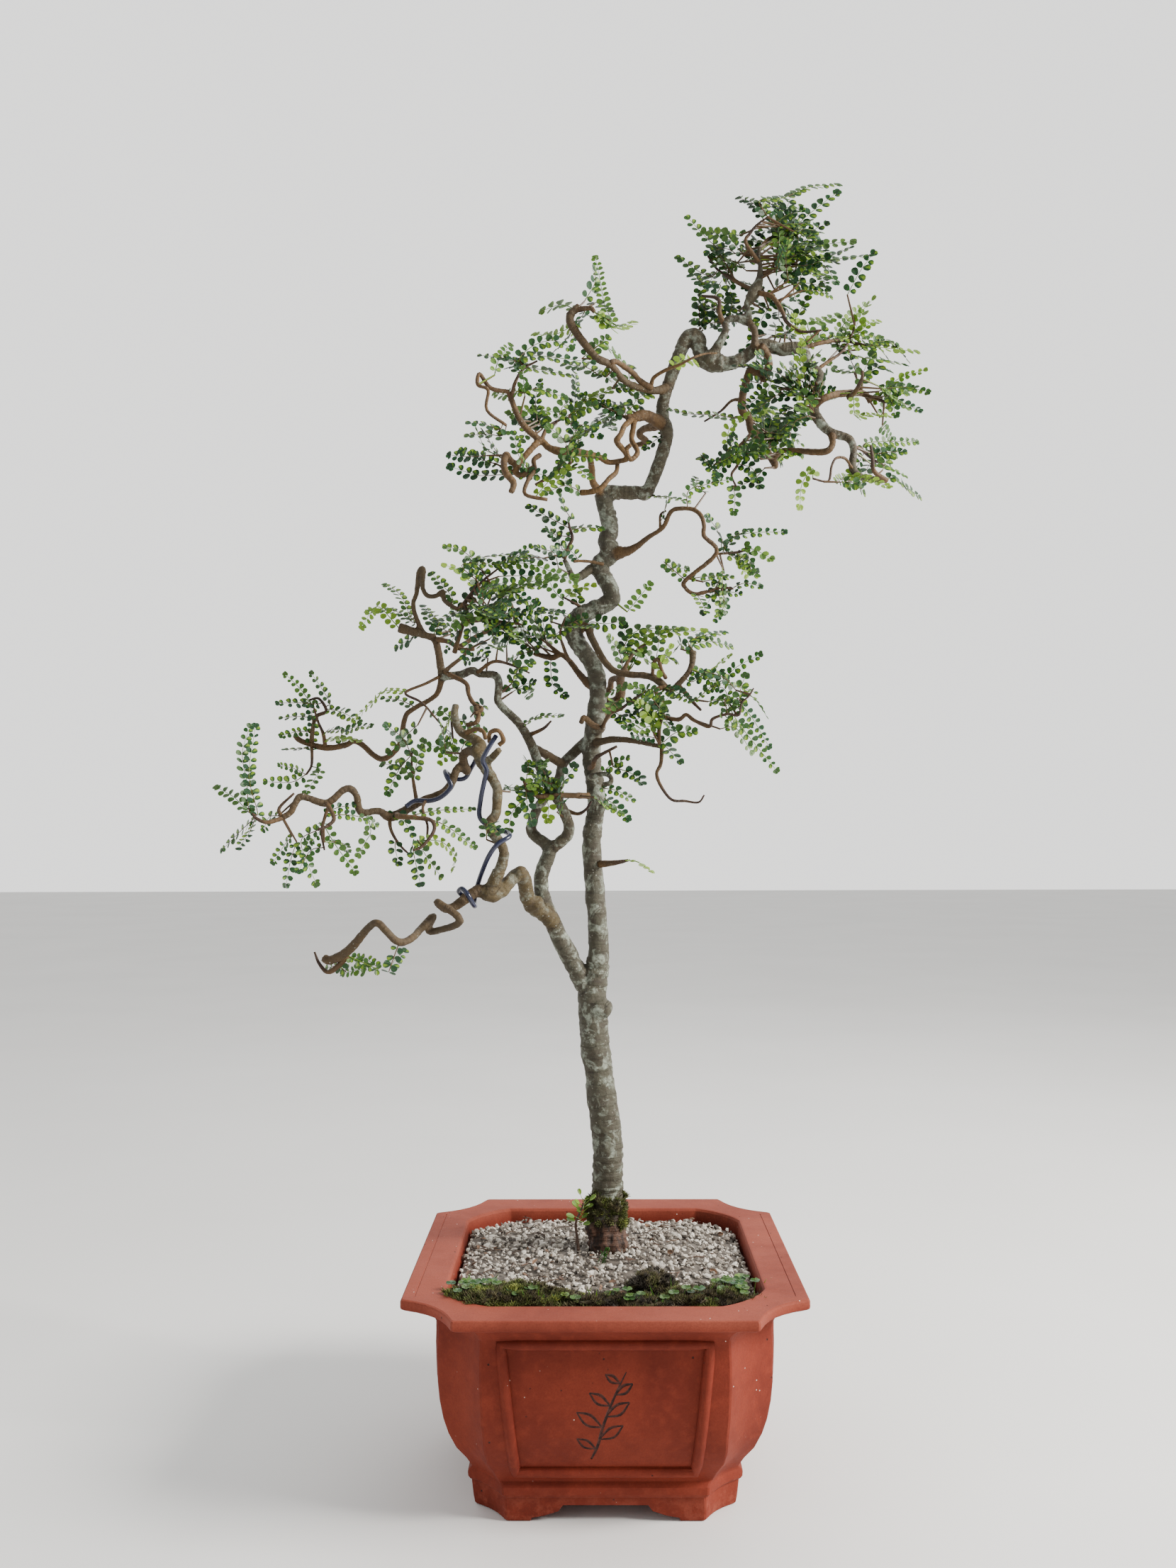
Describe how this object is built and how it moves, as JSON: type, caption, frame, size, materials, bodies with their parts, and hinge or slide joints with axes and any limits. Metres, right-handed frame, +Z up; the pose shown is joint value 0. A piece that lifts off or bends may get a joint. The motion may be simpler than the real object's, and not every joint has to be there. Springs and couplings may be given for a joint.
{
  "type": "potted bonsai tree",
  "caption": "Contorted small-leaved bonsai tree with a twin stem and wired low limb, in a square clay pot with scooped corners, gravel and moss.",
  "frame": {"origin": "middle of the bounding box's bottom face, on the plane of the pot's feet", "axes": "+Z up along the trunk, +Y away from the pot's front panel, +X to the right of someone facing that panel"},
  "size_m": [0.5061, 0.26, 0.91],
  "materials": {
    "fired_clay": "unglazed, matt",
    "mesh_plastic": "moulded",
    "copper_wire": "annealed copper wire",
    "soil": "damp loose soil",
    "gravel": "loose crushed stone",
    "moss": "living moss",
    "bark": "living bark",
    "training_wire": "gloss dark coating",
    "shoot_bark": "young bark",
    "young_leaf": "young living leaf",
    "leaf": "living leaf"
  },
  "bodies": {
    "root": {"basal_shoot_leaves": "young_leaf", "basal_shoot_stem": "shoot_bark", "clover_left": "young_leaf", "clover_right": "young_leaf", "crown_inner_leaves": "leaf", "crown_left_leaves": "leaf", "crown_middle_leaves": "leaf", "crown_right_leaves": "leaf", "crown_top_leaves": "leaf", "drain_mesh": "mesh_plastic", "drain_mesh_wire": "copper_wire", "far_left_arching_leaf": "leaf", "far_left_lower_leaves": "leaf", "far_left_rising_leaf": "leaf", "far_left_upper_leaves": "leaf", "fork_leaves": "leaf", "gravel_dressing": "gravel", "left_pad_back_leaves": "leaf", "left_pad_front_leaves": "leaf", "left_pad_lower_leaves": "leaf", "left_pad_right_leaves": "leaf", "left_pad_top_leaves": "leaf", "low_centre_leaves": "leaf", "low_left_leaves": "leaf", "moss_collar": "moss", "moss_cushion_centre": "moss", "moss_cushion_left": "moss", "moss_cushion_right": "moss", "moss_tuft_centre": "moss", "pot": "fired_clay", "right_back_leaves": "leaf", "right_bough_leaves": "leaf", "right_bough_lower_leaves": "leaf", "right_far_hanging_leaves": "leaf", "right_far_leaves": "leaf", "right_front_leaves": "leaf", "right_hanging_leaf": "leaf", "right_lower_leaves": "leaf", "right_tip_lower_leaves": "leaf", "right_tip_middle_leaves": "leaf", "right_tip_upper_leaves": "leaf", "right_twig_front_leaves": "leaf", "right_twig_top_leaves": "leaf", "seedling": "young_leaf", "soil": "soil", "training_wire_outer": "training_wire", "training_wire_upright": "training_wire", "trunk_and_branches": "bark", "trunk_crook_leaves": "leaf", "trunk_low_leaves": "leaf", "upper_left_inner_leaves": "leaf", "upper_left_tall_leaf": "leaf", "upper_pad_left_leaves": "leaf", "upper_pad_lower_leaves": "leaf", "upper_pad_middle_leaves": "leaf", "upper_pad_top_leaves": "leaf", "wired_limb_hanging_leaves": "leaf", "wired_limb_inner_leaves": "leaf", "wired_limb_outer_leaves": "leaf"}
  },
  "joints": []
}
